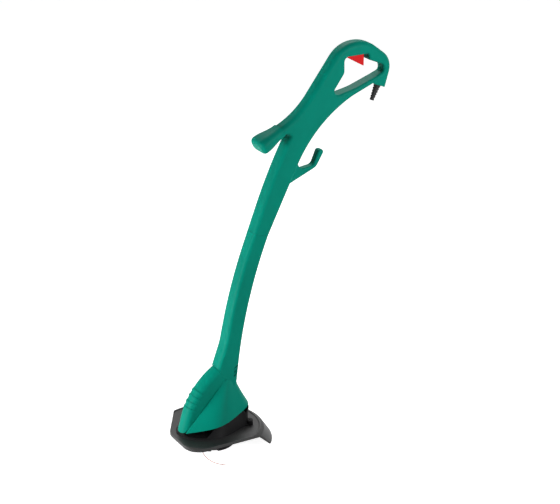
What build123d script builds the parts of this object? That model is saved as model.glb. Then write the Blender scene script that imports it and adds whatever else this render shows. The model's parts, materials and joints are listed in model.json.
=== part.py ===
from build123d import *
import os
from math import atan, cos, pi, radians, sin, sqrt, tan

os.makedirs("parts", exist_ok=True)

# Corded string trimmer. X points back to the operator, Y to the right and Z up, in millimetres.
# The spindle is the Z axis, the tap button stands on Z = 0, and the housing halves meet at Y = 0.

# Moulded shells
wall = 2.5
half_thick = 18.0
front_round = 11.5
shaft_round = 8.5
rear_round = 6.0
fit_gap = 0.3
space_overrun = 20.0

# Shaft seam: its centre, its lean back from vertical and half the shaft's depth there
seam_x = 122.0
seam_z = 482.0
seam_lean = 21.0
shaft_half_depth = 19.0
seam_gap = 0.4

# Handle outline, given from the seam's centre
arm_lean = 37.0
crown_front = (205.0, 399.0)
crown_rear = (269.0, 399.0)
grip_rear = (337.0, 346.0)
tail_rear = (317.5, 285.0)
tail_front = (281.0, 300.6)
strut_tail = (290.0, 313.5)
loop_rear_low = (312.0, 323.0)
loop_rear_high = (309.0, 339.0)
grip_stop = (272.0, 354.5)
recess_rear = (269.5, 369.0)
recess_front = (209.0, 369.0)
loop_bump = (209.5, 334.0)
loop_front_low = (177.0, 289.0)
strut_root = (211.0, 286.0)
web_end = (223.0, 276.0)
web_lean = 60.0
web_start_lean = 26.4
crown_front_radius = 70.0
crown_rear_radius = 80.0
grip_rear_radius = 42.0
loop_radii = [7, 9, 8, 7, 5, 11, 13, 9, 7, 7]
bend_share = 0.85
shaft_bend_share = 0.7
route_bend_share = 0.45
grip_taper_start = 253.0
grip_taper_radius = 784.0

# Strut that closes the loop
strut_half_thick = 16.5
strut_round = 5.0
strut_low_edge = [(186, 256), (231, 279), (290, 302)]
strut_high_edge = [(300, 317), (236, 295), (190, 286)]
strut_bend = 120.0

# Neck of the front grip
neck_lean = 63.0
neck_top = (52.0, 235.0)
neck_depth = 21.0
neck_sweep_radius = 190.0
notch_lean = 28.0
notch_line = (58.5, 184.0)
notch_radius = 6.0

# Front grip: distance from the neck, width and height of each section
grip_sections = [(0.4, 40, 25), (24, 45, 28), (50, 55, 34), (64, 53, 31)]
grip_corner_share = 0.46
grip_end_round = 10.0
grip_wall = 3.0
spigot_length = 15.0
spigot_gap = 0.6

# Cord hook on the rear of the shaft
hook_half_thick = 9.0
hook_round = 4.0
hook_edge = [(58, 94), (144, 129), (166, 166), (150, 168), (136, 135), (104, 131), (91, 158)]
hook_radii = [22, 6, 6, 12, 10]

# Trigger and switch: the pivot from the seam's centre, the rest from the pivot
trigger_pivot = (217.0, 378.0)
trigger_hub_radius = 5.5
trigger_half_width = 8.0
trigger_length = 45.0
trigger_drop = 37.0
trigger_heel = (2.0, -12.0)
trigger_flat_start = 9.0
trigger_edge_round = 1.5
trigger_slot_gap = 0.6
trigger_slot_front = 0.7
trigger_slot_rear = 51.0
pin_radius = 1.75
pin_clearance = 0.05
pin_boss_radius = 4.5
switch_offset = (23.0, 11.4)
switch_size = (24.0, 12.0, 11.0)
switch_rib = 3.0
switch_rib_spacing = 16.0
switch_fit = 0.05
plunger_offset = -4.0
plunger_radius = 2.0
plunger_rest_gap = 0.2
plunger_depth = 5.5
plunger_travel = 3.2
return_spring_offset = (39.0, 15.5)
return_spring_radius = 3.0
return_spring_wire = 0.7
return_spring_turns = 7
return_spring_pocket = 3.0

# Cord boot on the tail
boot_from_tail_rear = 15.0
boot_length = 37.0
boot_root_radius = 8.0
boot_tip_radius = 4.7
boot_bore_radius = 3.4
boot_neck_radius = 6.8
boot_flange_radius = 9.0
boot_flange = 2.5
boot_groove_count = 5
boot_groove_width = 2.6
boot_groove_depth = 1.0
boot_groove_start = 6.0
boot_groove_pitch = 6.0
boot_fit = 0.1

# Cord clamp inside the tail
clamp_inset = 17.0
clamp_post_spacing = 12.6
clamp_post_radius = 2.9
clamp_bar_end = 3.0
clamp_bar_width = 6.5
clamp_bar_height = 3.5
clamp_screw_length = 12.0

# Self-tapping screws
screw_head_radius = 3.1
screw_head = 2.2
screw_shank_radius = 1.5
screw_pilot_gap = 0.05
screw_hole_gap = 0.4
screw_recess = 1.0
screw_drive_radius = 1.3
boss_radius = 5.0
boss_seat = 8.0
boss_screw_length = 16.0
handle_screw_places = [(38, 60), (83, 150), (131, 240), (167, 267), (190, 349), (284, 371), (321, 330)]
spigot_screw_depth = 8.0
head_screw_places = [(104, 412), (72, 310), (54, 200), (50, 130), (66, 95)]

# Sleeve that joins the two halves of the shaft
sleeve_length = 70.0
sleeve_side_gap = 0.5
sleeve_front_gap = 0.9
sleeve_corner = 7.0
sleeve_wall = 2.5
sleeve_screw_offset = 20.0
sleeve_pad_radius = 5.0
sleeve_pad = 5.0

# Lower shaft, front and rear edges
shaft_front_lean = 12.0
shaft_foot = (30.2, 237.5)
shaft_foot_lean = 20.0
shaft_foot_radius = 150.0
shaft_rear_lean = 7.0
shaft_rear_foot = (55.5, 115.0)

# Head: the sloping joint above the base, and the nose
joint_z = 63.0
joint_slope = 0.2
crest_top = (29.0, 157.0)
crest_bottom_x = -73.0
nose_tip_x = -80.0
nose_root_lean = 148.0
nose_rake = 75.0
nose_brow_fall = 33.0
nose_round = 15.5
nose_radius_share = 0.9
nose_rib_count = 4
nose_rib_first = 0.34
nose_rib_pitch = 0.085
nose_rib_width = 5.5
nose_rib_rise = 1.2
nose_rib_depth = 30.0

# Cheek sections: height over the joint, crest past the shaft's side, widest place, half width, rear end
cheek_sections = [(0, 2.0, 8, 52, 92), (30, 3.0, 16, 41, 77),
                  (60, 2.5, 28, 28.5, 64), (86, -0.8, 42, 17.2, 57)]
cheek_shoulder = 0.65
cheek_shoulder_share = 0.64
cheek_rear_half = 4.0
cheek_front_pull = 1.5
end_pull = 0.3
vent_count = 3
vent_size = (14.0, 2.6)
vent_pitch = 9.5
vent_start = (55.0, 163.0)
vent_tilt = 40.0
post_overlap = 4.0

# Guard
guard_top = 40.0
guard_plate = 3.0
guard_side_reach = 90.0
guard_front_reach = 94.0
guard_far_angle = 148.0
guard_corner_radius = 38.0
guard_rim_inset = 10.0
skirt_shoulder_radius = 119.0
skirt_bottom_radius = 137.0
skirt_bottom_z = 10.0
skirt_wall = 3.0
guard_bead = 1.6
guard_lip = 7.0
guard_lip_wall = 3.0
guard_hole_radius = 20.0

# Motor base
base_set_in = 1.5
base_bulge = 0.72
base_foot_outline = [(-84, 0), (-66, -37), (4, -61), (58, -42), (87, 0)]
boat_end_half = 5.0
base_wall = 2.5
base_screw_seat = 8.0
base_floor = 3.0
base_ring_gap = 4.0
base_ring_wall = 2.5
base_ring_rise = 18.0
base_post_places = [(48, 25), (-30, 23)]
base_post_radius = 4.5
ear_place = (79.0, 36.0)
ear_radius = 7.5
ear_height = 12.0
ear_web_outline = [(50, 12), (82, 30), (76, 42), (40, 36)]
ear_web = 4.0

guard_screw_length = 11.0

# Motor
shaft_radius = 4.0
shaft_top_radius = 3.0
shaft_seat_overlap = 1.0
shaft_hole_gap = 1.0
journal_gap = 0.04
rotor_radius = 12.5
air_gap = 0.5
stator_radius = 23.0
stator_rise = 6.0
stator_length = 28.0
coil_end = 4.0
coil_half_angle = 48.0
coil_gap = 0.3
pole_wall = 2.0
yoke_wall = 4.5
frame_wall = 2.0
frame_foot_gap = 0.2
frame_foot = 3.0
commutator_radius = 9.0
commutator_length = 11.0
commutator_gap = 2.5
brush_size = (11.0, 5.0, 6.0)
brush_holder_length = 17.0
brush_holder_wall = 1.2
brush_gap = 0.15
lower_bearing = (9.5, 6.0)
upper_bearing = (8.0, 6.0)
bearing_boss_wall = 3.0
bearing_fit = 0.02
bearing_floor = 1.0
bridge_plate = 3.0
bridge_pillar = (8.0, 3.0)
brush_spring_wall = 1.0
fan_radius = 24.0
fan_plate = 1.5
fan_height = 6.0
fan_hub_radius = 8.0
fan_blade_count = 9
fan_gap = 1.0
capacitor_depth = 10.0
capacitor_height = 20.0
capacitor_gap = 0.2
capacitor_place = (60.0, 258.0)

# Lead from switch to motor: its route in the parting plane
lead_radius = 2.5
lead_points = [(349.6, 872), (333, 869), (314, 851), (299, 829), (263, 782), (226, 722), (187, 654),
               (159, 592), (137, 541), (112, 470), (89, 405), (67, 343), (54, 291), (43, 245), (37.5, 203),
               (32.5, 165), (28, 142)]

# Cutting head
drum_radius = 53.0
drum_wall = 2.5
drum_gap = 2.0
hub_flange_radius = 16.0
hub_flange = 3.0
hub_radius = 9.0
hub_gap = 1.0
hub_post_radius = 8.0
hub_post_gap = 0.8
spool_hub_radius = 16.0
spool_flange_gap = 4.5
spool_flange = 2.0
spool_height = 14.0
spool_bore_gap = 0.4
winding_gap = 8.0
button_radius = 22.0
button_flange_radius = 26.0
button_flange = 2.2
button_edge_round = 5.0
tap_travel = 3.2
cap_bottom = 3.5
cap_plate = 3.0
cap_notch = 8.0
cap_notch_turn = 70.0
cap_rim = 5.0
tap_spring_radius = 12.5
tap_spring_wire = 0.6
tap_spring_turns = 2
eyelet_radius = 3.0
eyelet_bore = 1.3
eyelet_length = 5.0
eyelet_turn = 220.75
eyelet_height = 18.66
eyelet_sink = 0.1

# Nylon line: its route outside the drum
line_radius = 0.8
line_points = [(-40.4, -36.2, 18.2), (-51, -52, 16), (-54.5, -72, 12.8), (-51.5, -92.5, 9.6),
               (-42, -108.5, 6.8), (-26.5, -118.8, 5.0)]

# Line cutter
cutter_size = (20.0, 1.5, 14.0)
cutter_inset = 10.0
cutter_bottom = 11.5
cutter_screw_height = 7.0
cutter_screw_spacing = 10.0
cutter_screw_length = 6.0


def lean(angle, length=1.0):
    """A step along a line that leans back from vertical by the angle."""
    return Vector(sin(radians(angle)), cos(radians(angle))) * length


def meet(first, first_lean, second, second_lean):
    """The point where two leaning lines cross."""
    one = lean(first_lean)
    two = lean(second_lean)
    apart = Vector(*second) - Vector(*first)
    reach = (apart.X * two.Y - apart.Y * two.X) / (one.X * two.Y - one.Y * two.X)
    return Vector(*first) + one * reach


def bend_radius(before, corner, after, share):
    """The radius that uses the given share of the shorter run at a corner."""
    run_in = Vector(*corner) - Vector(*before)
    run_out = Vector(*after) - Vector(*corner)
    half_turn = radians(run_in.get_angle(run_out)) / 2
    return share * min(run_in.length, run_out.length) / tan(half_turn)


def route_radii(points):
    """Radii that make the bends of a soft line as large as its runs allow."""
    return [bend_radius(*points[i:i + 3], route_bend_share) for i in range(len(points) - 2)]


def edges_along(shape, plane, path, reach):
    """The long edges of the flat sides that follow a path drawn in the plane, within the given reach."""
    chosen = ShapeList()
    for edge in shape.edges():
        places = [plane.to_local_coords(edge @ share) for share in (0, 0.5, 1)]
        on_one_side = min(abs(place.Z) for place in places) > wall and places[0].Z * places[2].Z > 0
        if on_one_side and path.distance_to(Vertex(places[1].X, places[1].Y, 0)) < reach:
            chosen.append(edge)
    return chosen


def save(builder, name):
    """Label a finished piece and write it as its own file."""
    builder.part.label = name
    print(name, len(builder.part.solids()), builder.part.is_valid)
    export_step(builder.part, f"parts/{name}.step")


# Points of the handle outline in the parting plane, from the seam's centre
seam_axis = lean(seam_lean)
seam_side = Vector(cos(radians(seam_lean)), -sin(radians(seam_lean)))
seam_front = seam_side * -shaft_half_depth
seam_rear = seam_side * shaft_half_depth
neck_axis = lean(neck_lean)
neck_across = Vector(cos(radians(neck_lean)), -sin(radians(neck_lean)))
neck_bottom = Vector(*neck_top) + neck_across * neck_depth
neck_corner = meet(neck_top, neck_lean, crown_front, arm_lean)
neck_centre = Vector(*neck_top) + neck_across * (neck_depth / 2)
notch = meet(neck_bottom, neck_lean, notch_line, notch_lean)
shaft_bend = meet(seam_front, seam_lean, notch, notch_lean)
web_bend = meet(seam_rear, web_start_lean, web_end, web_lean)
seam_centre = Vector(seam_x, seam_z)
handle_plane = Plane(origin=(seam_x, 0, seam_z), x_dir=(1, 0, 0), z_dir=(0, -1, 0))
side_plane = Plane.XZ


def inward(points, inset):
    """The corners of a clockwise outline, moved in so that every side moves by the inset."""
    corners = [Vector(*point) for point in points]
    moved = []
    for i, corner in enumerate(corners):
        before = (corner - corners[i - 1]).normalized()
        after = (corners[(i + 1) % len(corners)] - corner).normalized()
        across = Vector(before.Y + after.Y, -before.X - after.X)
        moved.append(corner + across * (inset / (1 + before.dot(after))))
    return moved


def shrink(points, radii, inset):
    """The bend radii of a clockwise run of points once its sides have moved in by the inset."""
    result = []
    for i, radius in enumerate(radii):
        before = Vector(*points[i + 1]) - Vector(*points[i])
        after = Vector(*points[i + 2]) - Vector(*points[i + 1])
        outer_bend = before.X * after.Y - before.Y * after.X < 0
        result.append(radius - inset if outer_bend else radius + inset)
    return result


def flat_form(plane, chains, half, inset):
    """A flat body whose outline is a clockwise round of bent chains of (points, radii, edge rounding)."""
    corners = inward([point for points, radii, rounding in chains for point in points], inset)
    with BuildPart() as form:
        paths = []
        with BuildSketch(plane):
            with BuildLine():
                start = 0
                last = corners[-1]
                for points, radii, rounding in chains:
                    run = corners[start:start + len(points)]
                    Line(last, run[0])
                    if radii:
                        paths.append((FilletPolyline(*run, radius=shrink(points, radii, inset)), rounding))
                    elif len(run) > 1:
                        paths.append((Polyline(*run), rounding))
                    start += len(points)
                    last = run[-1]
            make_face()
        extrude(amount=half - inset, both=True)
    return form.part, [(path, rounding - inset) for path, rounding in paths if rounding]


def rounded_form(plane, chains, half, inset=0.0):
    """The flat form with its long edges rounded."""
    form, paths = flat_form(plane, chains, half, inset)
    with BuildPart() as rounded:
        add(form)
        for path, rounding in paths:
            fillet(edges_along(rounded, plane, path, fit_gap), rounding)
    return rounded.part


def handle_solid(inset, overrun):
    """The handle's outer form, or with an inset the space inside it, open at the seam and the neck."""
    start_front = seam_front - seam_axis * overrun
    start_rear = seam_rear - lean(web_start_lean, overrun)
    neck_end_top = Vector(*neck_top) - neck_axis * overrun
    neck_end_bottom = neck_bottom - neck_axis * overrun
    shaft_points = [start_front, shaft_bend, notch, neck_end_bottom]
    shaft_radii = [bend_radius(seam_front, shaft_bend, notch, shaft_bend_share), notch_radius]
    front_points = [neck_end_top, neck_corner, crown_front, crown_rear, grip_rear, tail_rear]
    front_radii = [neck_sweep_radius, crown_front_radius, crown_rear_radius, grip_rear_radius]
    loop_points = [tail_front, strut_tail, loop_rear_low, loop_rear_high, grip_stop, recess_rear,
                   recess_front, loop_bump, loop_front_low, strut_root, web_end, web_bend, start_rear]
    web_radius = bend_radius(seam_rear, web_bend, web_end, bend_share)
    chains = [(shaft_points, shaft_radii, shaft_round), (front_points, front_radii, front_round),
              (loop_points, loop_radii + [web_radius], rear_round)]
    form, paths = flat_form(handle_plane, chains, half_thick, inset)
    with BuildPart() as solid:
        add(form)
        with BuildSketch(Plane.XY.offset(seam_z - seam_x)):
            taper_x = seam_x + grip_taper_start
            tail_x = seam_x + grip_rear[0] + wall
            side = half_thick - inset
            tail_side = side - grip_taper_radius + sqrt(grip_taper_radius ** 2 - (tail_x - taper_x) ** 2)
            with BuildLine():
                Line((0, -side), (taper_x, -side))
                TangentArc((taper_x, -side), (tail_x, -tail_side), tangent=(1, 0))
                Line((tail_x, -tail_side), (tail_x, tail_side))
                TangentArc((taper_x, side), (tail_x, tail_side), tangent=(1, 0))
                Line((taper_x, side), (0, side))
                Line((0, side), (0, -side))
            make_face()
        extrude(amount=seam_z + crown_front[1], mode=Mode.INTERSECT)
        for path, rounding in paths:
            fillet(edges_along(solid, handle_plane, path, fit_gap), rounding)
    return solid.part


def rods(planes, radius, low, high):
    """Round rods along the planes' normals, from a low to a high distance."""
    with BuildPart() as group:
        for plane in planes:
            with BuildSketch(plane.offset(low)):
                Circle(radius)
            extrude(amount=high - low)
    return group.part


def block(plane, size):
    """A block centred on the plane's origin."""
    with BuildPart() as piece:
        with BuildSketch(plane):
            Rectangle(size[0], size[1])
        extrude(amount=size[2] / 2, both=True)
    return piece.part


def screw_group(planes, length):
    """Screws with their heads standing on the planes and their shanks below."""
    heads = rods(planes, screw_head_radius, 0, screw_head)
    shanks = rods(planes, screw_shank_radius, -length, 0)
    drives = rods(planes, screw_drive_radius, screw_head - screw_recess, screw_head)
    with BuildPart() as group:
        add(heads)
        add(shanks)
        add(drives, mode=Mode.SUBTRACT)
    return group


def cross_plane(place, y):
    """A plane across the housing whose normal points to the right."""
    return Plane(origin=(place[0], y, place[1]), x_dir=(1, 0, 0), z_dir=(0, 1, 0))


def from_seam(place):
    """A place given from the seam's centre, in the frame of the whole machine."""
    return (seam_x + place[0], seam_z + place[1])


# Sleeve screws from the right, one on each side of the seam
seam_plane = Plane(origin=(seam_x, 0, seam_z), x_dir=(seam_side.X, 0, seam_side.Y),
                   z_dir=(seam_axis.X, 0, seam_axis.Y))
sleeve_screw_places = [seam_centre + seam_axis * (side * sleeve_screw_offset) for side in (-1, 1)]
sleeve_screw_planes = [cross_plane((place.X, place.Y), half_thick - screw_head)
                       for place in sleeve_screw_places]
sleeve_seats = rods(sleeve_screw_planes, screw_head_radius + screw_hole_gap, 0, half_thick)
sleeve_holes = rods(sleeve_screw_planes, screw_shank_radius + screw_hole_gap, -half_thick, 0)


def halves(whole, planes):
    """The left and right halves of a housing, drilled for its screws and those of the sleeve."""
    pilots = rods(planes, screw_shank_radius + screw_pilot_gap, -boss_screw_length - fit_gap, -boss_seat)
    clearances = rods(planes, screw_shank_radius + screw_hole_gap, -boss_seat, 0)
    seats = rods(planes, screw_head_radius + screw_hole_gap, 0, 4 * half_thick)
    with BuildPart() as left:
        add(whole)
        split(bisect_by=side_plane, keep=Keep.TOP)
        add(pilots, mode=Mode.SUBTRACT)
    with BuildPart() as right:
        add(whole)
        split(bisect_by=side_plane, keep=Keep.BOTTOM)
        for cut in (clearances, seats, sleeve_holes, sleeve_seats):
            add(cut, mode=Mode.SUBTRACT)
    return left, right


# Upper housing: the handle with its strut and cord hook
strut_chains = [(edge[::-1], [strut_bend], strut_round) for edge in (strut_high_edge, strut_low_edge)]
hook_chains = [(hook_edge[::-1], hook_radii[::-1], hook_round)]
handle_body = handle_solid(0, -seam_gap)
strut = rounded_form(handle_plane, strut_chains, strut_half_thick)
hook = rounded_form(handle_plane, hook_chains, hook_half_thick)
handle_space = handle_solid(wall, space_overrun)
strut_space = rounded_form(handle_plane, strut_chains, strut_half_thick, wall)

# Places inside the handle
spigot_screw = neck_centre + neck_axis * spigot_screw_depth
handle_screw_planes = [cross_plane(from_seam(place), boss_seat)
                       for place in handle_screw_places + [(spigot_screw.X, spigot_screw.Y)]]
pivot_plane = cross_plane(from_seam(trigger_pivot), 0)
boot_axis = (Vector(*tail_rear) - Vector(*tail_front)).normalized()
boot_root = Vector(*tail_rear) - boot_axis * boot_from_tail_rear
boot_out = Vector(boot_axis.Y, -boot_axis.X)
boot_plane = Plane(origin=(seam_x + boot_root.X, 0, seam_z + boot_root.Y), x_dir=(0, 1, 0),
                   z_dir=(boot_out.X, 0, boot_out.Y))
clamp_centre = boot_root - boot_out * clamp_inset
clamp_places = [clamp_centre + boot_axis * (side * clamp_post_spacing / 2) for side in (-1, 1)]
clamp_planes = [cross_plane(from_seam((place.X, place.Y)), 0) for place in clamp_places]
pivot_x, pivot_z = from_seam(trigger_pivot)
spring_x = pivot_x + return_spring_offset[0]
spring_top = pivot_z + return_spring_offset[1]
spring_seat_plane = Plane(origin=(spring_x, 0, spring_top))
switch_x = pivot_x + switch_offset[0]
switch_z = pivot_z + switch_offset[1]

# Upper housing shells
handle_bosses = rods(handle_screw_planes, boss_radius, -3 * half_thick, 3 * half_thick)
right_pin_boss = rods([pivot_plane], pin_boss_radius, trigger_half_width + fit_gap, half_thick)
left_pin_boss = rods([pivot_plane], pin_boss_radius, -half_thick, -trigger_half_width - fit_gap)
clamp_posts = rods(clamp_planes, clamp_post_radius, -2 * half_thick, 0)
spring_seat = rods([spring_seat_plane], return_spring_radius + return_spring_wire, 0, half_thick)
rib_depth = half_thick - switch_size[1] / 2 - switch_fit
switch_ribs = [block(Plane(origin=(switch_x + along * switch_rib_spacing / 2,
                                   side * (half_thick + switch_size[1] / 2 + switch_fit) / 2, switch_z)),
                     (switch_rib, rib_depth, switch_size[2])) for along in (-1, 1) for side in (-1, 1)]
with BuildPart() as handle_hollow:
    add(handle_space)
    add(strut_space)
    for kept in [handle_bosses, right_pin_boss, left_pin_boss, clamp_posts, spring_seat] + switch_ribs:
        add(kept, mode=Mode.SUBTRACT)
pin_hole = rods([pivot_plane], pin_radius + pin_clearance, -half_thick + wall, half_thick - wall)
clamp_pilots = rods(clamp_planes, screw_shank_radius + screw_pilot_gap,
                    clamp_bar_height - clamp_screw_length - fit_gap, 0)
boot_hole = rods([boot_plane], boot_neck_radius + boot_fit, -2 * wall, wall)
slot_length = trigger_slot_front + trigger_slot_rear
slot_x = pivot_x + (trigger_slot_rear - trigger_slot_front) / 2
trigger_slot_cut = block(Plane(origin=(slot_x, 0, seam_z + recess_front[1])),
                         (slot_length, 2 * (trigger_half_width + trigger_slot_gap), 4 * wall))
with BuildPart() as handle_housing:
    add(handle_body)
    add(strut)
    add(hook)
    for cut in (handle_hollow.part, pin_hole, clamp_pilots, boot_hole, trigger_slot_cut):
        add(cut, mode=Mode.SUBTRACT)
handle_shell_left, handle_shell_right = halves(handle_housing.part, handle_screw_planes)
save(handle_shell_left, "handle_shell_left")
save(handle_shell_right, "handle_shell_right")
handle_screws = screw_group(handle_screw_planes, boss_screw_length)
save(handle_screws, "handle_screws")

# Front grip, a flared palm rest on a spigot in the neck
neck_point = from_seam((neck_centre.X, neck_centre.Y))
grip_plane = Plane(origin=(neck_point[0], 0, neck_point[1]), x_dir=(0, 1, 0),
                   z_dir=(-neck_axis.X, 0, -neck_axis.Y))


def grip_form(inset):
    """The flared body of the front grip, or with an inset the space inside it."""
    with BuildPart() as form:
        for section in grip_sections:
            depth, width, height = section
            depth += inset * ((section == grip_sections[0]) - (section == grip_sections[-1]))
            with BuildSketch(grip_plane.offset(depth)):
                RectangleRounded(width - 2 * inset, height - 2 * inset,
                                 (height - 2 * inset) * grip_corner_share)
        loft()
    return form.part


spigot_width = 2 * (half_thick - wall - spigot_gap)
spigot_height = neck_depth - 2 * (wall + spigot_gap)
grip_space = grip_form(grip_wall)
grip_body = grip_form(0)
spigot_hole = rods([handle_screw_planes[-1]], boss_radius + spigot_gap, -3 * half_thick, 3 * half_thick)
with BuildPart() as front_grip:
    add(grip_body)
    fillet(front_grip.faces().sort_by(Axis(grip_plane.origin, grip_plane.z_dir))[-1].edges(), grip_end_round)
    add(grip_space, mode=Mode.SUBTRACT)
    with BuildSketch(grip_plane.offset(-spigot_length)):
        RectangleRounded(spigot_width, spigot_height, (spigot_height - fit_gap) / 2)
    extrude(amount=spigot_length + grip_wall)
    with BuildSketch(grip_plane.offset(-spigot_length)):
        RectangleRounded(spigot_width - 2 * grip_wall, spigot_height - 2 * grip_wall,
                         (spigot_height - 2 * grip_wall - fit_gap) / 2)
    extrude(amount=spigot_length + 2 * grip_wall, mode=Mode.SUBTRACT)
    add(spigot_hole, mode=Mode.SUBTRACT)
save(front_grip, "front_grip")

# Trigger on its pin
trigger_outline = [(0, -trigger_hub_radius), trigger_heel, (trigger_length, -trigger_drop),
                   (trigger_length, 0), (trigger_flat_start, 0), (0, trigger_hub_radius)]
with BuildPart() as trigger:
    with BuildSketch(Plane(origin=(pivot_x, 0, pivot_z), x_dir=(1, 0, 0), z_dir=(0, -1, 0))):
        with BuildLine():
            Polyline(*trigger_outline, close=True)
        make_face()
    extrude(amount=trigger_half_width, both=True)
    fillet(trigger.edges().filter_by(Axis.Y).sort_by(Axis.Z)[:2], trigger_edge_round)
    with BuildSketch(pivot_plane):
        Circle(trigger_hub_radius)
    extrude(amount=trigger_half_width, both=True)
    with BuildSketch(pivot_plane):
        Circle(pin_radius + pin_clearance)
    extrude(amount=trigger_half_width, both=True, mode=Mode.SUBTRACT)
    with BuildSketch(Plane(origin=(spring_x, 0, pivot_z))):
        Circle(return_spring_radius + return_spring_wire + fit_gap)
    extrude(amount=-return_spring_pocket, mode=Mode.SUBTRACT)
save(trigger, "trigger")
with BuildPart() as trigger_pin:
    with BuildSketch(pivot_plane):
        Circle(pin_radius)
    extrude(amount=half_thick - wall - fit_gap, both=True)
save(trigger_pin, "trigger_pin")


def coil_spring(origin, radius, wire, height, turns):
    """A coil spring that stands upright on its origin, measured over its wire."""
    with BuildPart() as spring:
        with BuildLine(Plane(origin=(origin[0], origin[1], origin[2] + wire))):
            path = Helix(pitch=(height - 2 * wire) / turns, height=height - 2 * wire, radius=radius)
        with BuildSketch(Plane(origin=path @ 0, z_dir=path % 0)):
            Circle(wire)
        sweep(is_frenet=True)
    return spring


spring_foot = pivot_z - return_spring_pocket
trigger_spring = coil_spring((spring_x, 0, spring_foot), return_spring_radius, return_spring_wire / 2,
                             spring_top - spring_foot, return_spring_turns)
save(trigger_spring, "trigger_spring")

# Switch and its plunger
plunger_x = switch_x + plunger_offset
plunger_foot = pivot_z + plunger_rest_gap
switch_foot = switch_z - switch_size[2] / 2
plunger_plane = Plane(origin=(plunger_x, 0, switch_foot))
with BuildPart() as switch_body:
    with BuildSketch(Plane(origin=(switch_x, 0, switch_foot))):
        Rectangle(switch_size[0], switch_size[1])
    extrude(amount=switch_size[2])
    with BuildSketch(plunger_plane):
        Circle(plunger_radius + pin_clearance)
    extrude(amount=plunger_depth + plunger_travel, mode=Mode.SUBTRACT)
save(switch_body, "switch_body")
with BuildPart() as switch_plunger:
    with BuildSketch(plunger_plane.offset(plunger_foot - switch_foot)):
        Circle(plunger_radius)
    extrude(amount=switch_foot - plunger_foot + plunger_depth)
save(switch_plunger, "switch_plunger")

# Cord boot and the clamp behind it
boot_section = Plane(origin=boot_plane.origin, x_dir=(0, 1, 0),
                     z_dir=Vector(0, 1, 0).cross(boot_plane.z_dir))


def boot_radius(along):
    """The boot's outer radius at a distance from its root."""
    return boot_root_radius + (boot_tip_radius - boot_root_radius) * along / boot_length


boot_profile = [(boot_bore_radius, -wall - boot_flange), (boot_flange_radius, -wall - boot_flange),
                (boot_flange_radius, -wall), (boot_neck_radius, -wall), (boot_neck_radius, 0),
                (boot_root_radius, 0)]
for number in range(boot_groove_count):
    groove_start = boot_groove_start + number * boot_groove_pitch
    groove_end = groove_start + boot_groove_width
    boot_profile += [(boot_radius(groove_start), groove_start),
                     (boot_radius(groove_start) - boot_groove_depth, groove_start),
                     (boot_radius(groove_end) - boot_groove_depth, groove_end),
                     (boot_radius(groove_end), groove_end)]
boot_profile += [(boot_tip_radius, boot_length), (boot_bore_radius, boot_length)]
with BuildPart() as cord_boot:
    with BuildSketch(boot_section):
        with BuildLine():
            Polyline(*boot_profile, close=True)
        make_face()
    revolve(axis=Axis(boot_plane.origin, boot_plane.z_dir))
save(cord_boot, "cord_boot")

clamp_point = from_seam((clamp_centre.X, clamp_centre.Y))
clamp_plane = Plane(origin=(clamp_point[0], 0, clamp_point[1]), x_dir=(boot_axis.X, 0, boot_axis.Y),
                    z_dir=(0, 1, 0))
clamp_holes = rods(clamp_planes, screw_shank_radius + screw_hole_gap, 0, clamp_bar_height)
with BuildPart() as cord_clamp:
    with BuildSketch(clamp_plane):
        RectangleRounded(clamp_post_spacing + 2 * clamp_bar_end, clamp_bar_width,
                         clamp_bar_width / 2 - fit_gap)
    extrude(amount=clamp_bar_height)
    add(clamp_holes, mode=Mode.SUBTRACT)
save(cord_clamp, "cord_clamp")
clamp_screw_planes = [plane.offset(clamp_bar_height) for plane in clamp_planes]
cord_clamp_screws = screw_group(clamp_screw_planes, clamp_screw_length)
save(cord_clamp_screws, "cord_clamp_screws")

# Sleeve inside the seam of the shaft, and its screws
sleeve_half_width = half_thick - wall - sleeve_side_gap
sleeve_half_depth = shaft_half_depth - wall - sleeve_front_gap
pad_top = sleeve_half_width - sleeve_wall - half_thick + screw_head
sleeve_pads = rods(sleeve_screw_planes, sleeve_pad_radius, pad_top - sleeve_pad, pad_top + sleeve_wall / 2)
sleeve_pilots = rods(sleeve_screw_planes, screw_shank_radius + screw_pilot_gap, -half_thick, 0)
with BuildPart() as shaft_sleeve:
    with BuildSketch(seam_plane.offset(-sleeve_length / 2)):
        RectangleRounded(2 * sleeve_half_depth, 2 * sleeve_half_width, sleeve_corner)
        RectangleRounded(2 * (sleeve_half_depth - sleeve_wall), 2 * (sleeve_half_width - sleeve_wall),
                         sleeve_corner - sleeve_wall, mode=Mode.SUBTRACT)
    extrude(amount=sleeve_length)
    add(sleeve_pads)
    add(sleeve_pilots, mode=Mode.SUBTRACT)
save(shaft_sleeve, "shaft_sleeve")
sleeve_screws = screw_group(sleeve_screw_planes, sleeve_pad + sleeve_wall + wall)
save(sleeve_screws, "sleeve_screws")

# Motor lead, a soft cable inside the shaft
with BuildPart() as motor_lead:
    lead_route = [(x, 0, z) for x, z in lead_points]
    with BuildLine():
        lead_path = FilletPolyline(*lead_route, radius=route_radii(lead_route))
    with BuildSketch(Plane(origin=lead_path @ 0, z_dir=lead_path % 0)):
        Circle(lead_radius)
    sweep()
save(motor_lead, "motor_lead")

# Lower housing: shaft, cheeks and nose
top_front = seam_centre + seam_front
top_rear = seam_centre + seam_rear
front_bend = meet(top_front, seam_lean, shaft_foot, shaft_front_lean)
rear_bend = meet(top_rear, seam_lean, shaft_rear_foot, shaft_rear_lean)
crest_bottom = Vector(crest_bottom_x, joint_z + joint_slope * crest_bottom_x)
nose_tip = Vector(nose_tip_x, joint_z + joint_slope * nose_tip_x)
nose_root = meet(crest_top, nose_root_lean, shaft_foot, shaft_foot_lean)
crest_fall = (crest_top[1] - crest_bottom.Y) / (crest_top[0] - crest_bottom.X)
joint_tilt = atan(joint_slope)
slant = 1 / cos(joint_tilt)


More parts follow.
